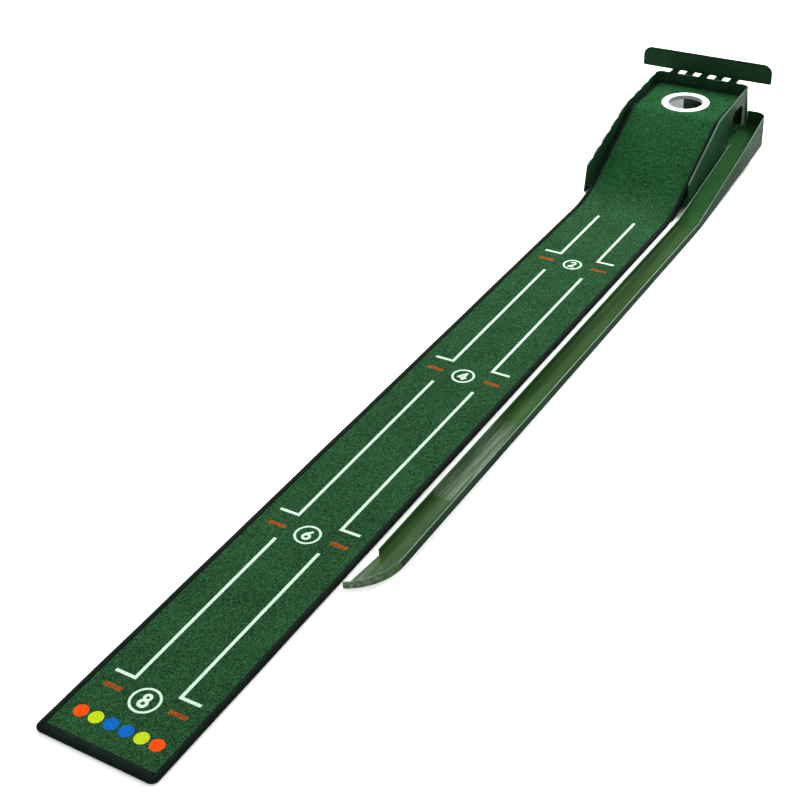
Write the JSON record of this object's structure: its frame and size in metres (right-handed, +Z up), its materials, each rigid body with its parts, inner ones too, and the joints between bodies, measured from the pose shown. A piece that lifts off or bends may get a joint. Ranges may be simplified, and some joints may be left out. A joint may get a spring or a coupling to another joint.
{
  "type": "practice putting mat",
  "caption": "Indoor putting mat: printed turf strip rising on a moulded ramp to a cup, with a backstop and a plastic return track that rolls the ball back to the player.",
  "frame": {"origin": "middle of the whole object's base, on the floor", "axes": "+Z up; +Y along the mat from the player to the cup; +X towards the side that carries the return track"},
  "size_m": [0.46, 3.098, 0.276],
  "materials": {
    "backing": "matt, fine woven texture pressed in",
    "turf": "short dense speckled pile with printed white lines, numbers and dashes",
    "binding": "overlocked edge yarn, black with a green cast",
    "tape": "hook tape",
    "ramp": "pebble-grained moulding with a smooth rim",
    "foot": "matt",
    "deck": "plain moulding, hidden under the turf",
    "screw": "zinc plated",
    "ring": "satin white",
    "liner": "light grey",
    "chute": "smooth moulding",
    "backstop": "fine-grained moulding with smooth edges",
    "track": "glossy, slightly see-through moulding"
  },
  "bodies": {
    "ramp": {"mat_backing_floor": "backing", "mat_backing_foot": "backing", "mat_backing_slope": "backing", "mat_backing_top": "backing", "turf_pile": "turf", "edge_binding": "binding", "hook_tapes": "tape", "ramp_shell": "ramp", "ramp_feet": "foot", "ramp_deck": "deck", "deck_ribs": "deck", "deck_screws": "screw", "cup_ring": "ring", "cup_liner": "liner", "ball_chute": "chute", "chute_screws": "screw"},
    "backstop": {"backstop": "backstop"},
    "track_entry": {"track_entry": "track"},
    "track_section_1": {"track_section_1": "track"},
    "track_section_2": {"track_section_2": "track"},
    "track_section_3": {"track_section_3": "track"},
    "track_end": {"track_end": "track"}
  },
  "joints": [
    {"name": "backstop_lift", "type": "slide", "parent": "ramp", "child": "backstop", "axis": [0, 0, 1], "range_m": [0, 0.06]},
    {"name": "track_lift", "type": "slide", "parent": "ramp", "child": "track_entry", "axis": [0, 0, 1], "range_m": [0, 0.03]},
    {"name": "section_1_pull", "type": "slide", "parent": "track_entry", "child": "track_section_1", "axis": [0, -1, 0], "range_m": [0, 0.06]},
    {"name": "section_2_pull", "type": "slide", "parent": "track_section_1", "child": "track_section_2", "axis": [0, -1, 0], "range_m": [0, 0.06]},
    {"name": "section_3_pull", "type": "slide", "parent": "track_section_2", "child": "track_section_3", "axis": [0, -1, 0], "range_m": [0, 0.06]},
    {"name": "end_pull", "type": "slide", "parent": "track_section_3", "child": "track_end", "axis": [0, -1, 0], "range_m": [0, 0.06]}
  ]
}
